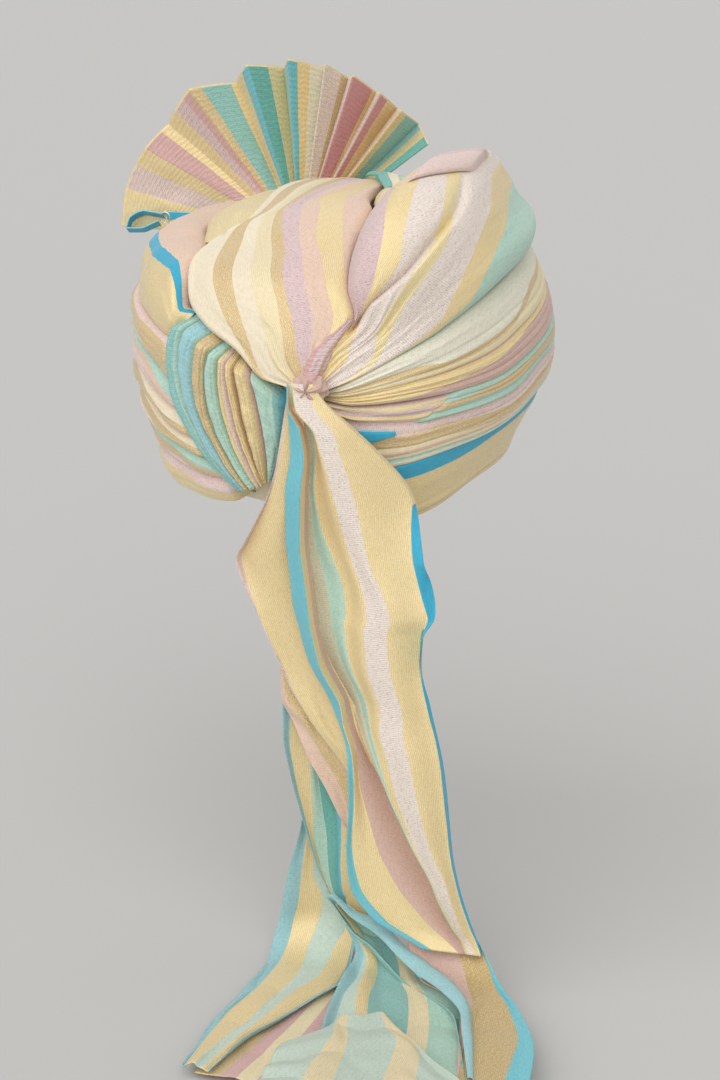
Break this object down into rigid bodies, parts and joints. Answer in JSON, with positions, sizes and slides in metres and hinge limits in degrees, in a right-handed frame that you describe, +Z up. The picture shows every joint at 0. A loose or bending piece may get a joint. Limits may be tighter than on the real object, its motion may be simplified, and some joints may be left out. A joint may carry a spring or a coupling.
{
  "type": "tied turban",
  "caption": "Wound cloth turban with folded wraps, a twisted crown, a pleated upright fan, a gathered knot and a long layered tail, open below for a head",
  "frame": {"origin": "middle of the roof of the head hollow, where the turban bears on the crown of the head", "axes": "+Z up, -Y the way the wearer looks, +X the wearer's left; the knot and the tail are at the back, +Y"},
  "size_m": [0.3706, 0.4657, 0.554],
  "materials": {
    "gold_cloth": "ribbed metallic-thread weave",
    "cream_cloth": "fine plain weave",
    "pink_cloth": "open gauze weave",
    "mint_cloth": "sheer open weave",
    "teal_cloth": "sheer open weave",
    "turquoise_cloth": "fine plain weave",
    "pin_steel": "bright wire"
  },
  "bodies": {
    "root": {"inner_wraps": "cream_cloth", "crown_left_lobe": "cream_cloth", "crown_right_lobe": "pink_cloth", "crown_flap": "pink_cloth", "fan_base": "gold_cloth", "right_wrap_1": "cream_cloth", "right_wrap_2": "gold_cloth", "right_wrap_3": "mint_cloth", "right_wrap_4": "pink_cloth", "rim_wrap": "gold_cloth", "knot_tuck": "gold_cloth", "blue_tuck": "turquoise_cloth", "gathered_strip": "pink_cloth", "left_top_roll": "gold_cloth", "left_roll_1": "pink_cloth", "left_roll_2": "cream_cloth", "left_roll_3": "gold_cloth", "left_roll_4": "mint_cloth", "left_roll_5": "pink_cloth", "left_roll_6": "gold_cloth", "knot": "pink_cloth", "fan": "gold_cloth", "fan_ribbon": "turquoise_cloth", "fan_loop": "turquoise_cloth", "fan_tuck": "mint_cloth", "fan_pin": "pin_steel", "tail_gold_panel": "gold_cloth", "tail_main_panel": "cream_cloth", "tail_teal_layer": "teal_cloth", "tail_sheer_layer": "mint_cloth", "tail_floor_panel": "gold_cloth", "bundle_fold_1": "teal_cloth", "bundle_fold_2": "teal_cloth", "bundle_fold_3": "gold_cloth", "bundle_fold_4": "mint_cloth", "bundle_fold_5": "gold_cloth", "bundle_fold_6": "pink_cloth", "bundle_fold_7": "gold_cloth", "bundle_fold_8": "mint_cloth"}
  },
  "joints": []
}
